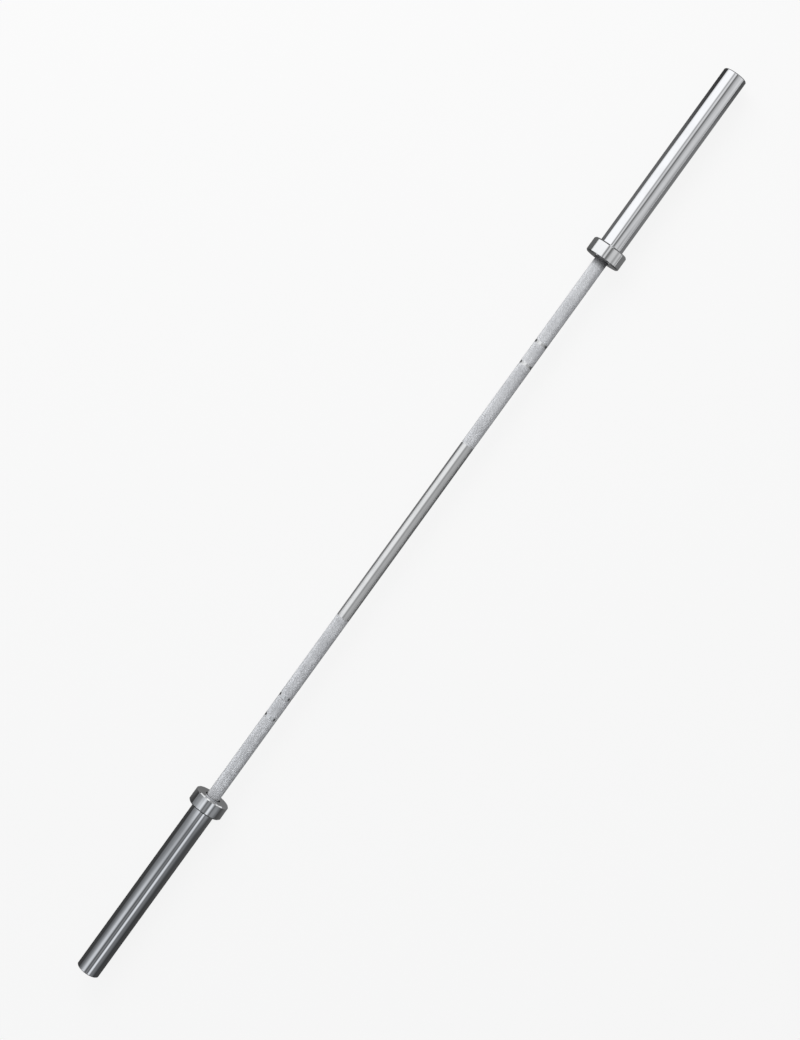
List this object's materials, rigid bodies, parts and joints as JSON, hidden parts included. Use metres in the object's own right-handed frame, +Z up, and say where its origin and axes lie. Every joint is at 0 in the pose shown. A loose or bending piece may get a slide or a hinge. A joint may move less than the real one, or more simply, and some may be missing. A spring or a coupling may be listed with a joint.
{
  "type": "barbell",
  "caption": "Straight chromed steel barbell: a knurled shaft between collars, with sleeves for weight plates that spin on bushes and needle bearings.",
  "frame": {"origin": "the middle of the bar, on its axis", "axes": "+X along the bar towards its right end, +Z up, +Y away from the lifter; the bar stands on its two collars"},
  "size_m": [2.184, 0.075, 0.075],
  "materials": {
    "shaft_chrome": "bright chrome on the smooth centre, matte over the knurling",
    "sleeve_chrome": "bright chrome with fine turning marks",
    "bush_bronze": "turned bronze",
    "bearing_steel": "ground bearing steel",
    "spring_steel": "black phosphate",
    "cap_steel": "turned steel, satin",
    "seal_rubber": "black rubber"
  },
  "bodies": {
    "bar": {"shaft": "shaft_chrome", "right_inner_thrust_washer": "bearing_steel", "right_outer_thrust_washer": "bearing_steel", "right_shaft_snap_ring": "spring_steel", "left_inner_thrust_washer": "bearing_steel", "left_outer_thrust_washer": "bearing_steel", "left_shaft_snap_ring": "spring_steel"},
    "right_sleeve": {"right_sleeve_tube": "sleeve_chrome", "right_collar": "sleeve_chrome", "right_dust_seal": "seal_rubber", "right_inner_bush": "bush_bronze", "right_inner_needle_cup": "bearing_steel", "right_outer_needle_cup": "bearing_steel", "right_outer_bush": "bush_bronze", "right_end_cap": "cap_steel", "right_end_cap_retainer": "spring_steel"},
    "right_inner_cage": {"right_inner_needle_cage": "bearing_steel"},
    "right_outer_cage": {"right_outer_needle_cage": "bearing_steel"},
    "left_sleeve": {"left_sleeve_tube": "sleeve_chrome", "left_collar": "sleeve_chrome", "left_dust_seal": "seal_rubber", "left_inner_bush": "bush_bronze", "left_inner_needle_cup": "bearing_steel", "left_outer_needle_cup": "bearing_steel", "left_outer_bush": "bush_bronze", "left_end_cap": "cap_steel", "left_end_cap_retainer": "spring_steel"},
    "left_inner_cage": {"left_inner_needle_cage": "bearing_steel"},
    "left_outer_cage": {"left_outer_needle_cage": "bearing_steel"}
  },
  "joints": [
    {"name": "right_sleeve_spin", "type": "hinge", "parent": "bar", "child": "right_sleeve", "pos_m": [0.655, 0, 0], "axis": [1, 0, 0], "continuous": true},
    {"name": "right_inner_cage_spin", "type": "hinge", "parent": "bar", "child": "right_inner_cage", "pos_m": [0.702, 0, 0], "axis": [1, 0, 0], "continuous": true},
    {"name": "right_outer_cage_spin", "type": "hinge", "parent": "bar", "child": "right_outer_cage", "pos_m": [1.0375, 0, 0], "axis": [1, 0, 0], "continuous": true},
    {"name": "left_sleeve_spin", "type": "hinge", "parent": "bar", "child": "left_sleeve", "pos_m": [-0.655, 0, 0], "axis": [1, 0, 0], "continuous": true},
    {"name": "left_inner_cage_spin", "type": "hinge", "parent": "bar", "child": "left_inner_cage", "pos_m": [-0.702, 0, 0], "axis": [1, 0, 0], "continuous": true},
    {"name": "left_outer_cage_spin", "type": "hinge", "parent": "bar", "child": "left_outer_cage", "pos_m": [-1.0375, 0, 0], "axis": [1, 0, 0], "continuous": true}
  ],
  "couplings": [
    {"joint": "right_inner_cage_spin", "follows": "right_sleeve_spin", "ratio": 0.5504},
    {"joint": "right_outer_cage_spin", "follows": "right_sleeve_spin", "ratio": 0.5504},
    {"joint": "left_inner_cage_spin", "follows": "left_sleeve_spin", "ratio": 0.5504},
    {"joint": "left_outer_cage_spin", "follows": "left_sleeve_spin", "ratio": 0.5504}
  ]
}
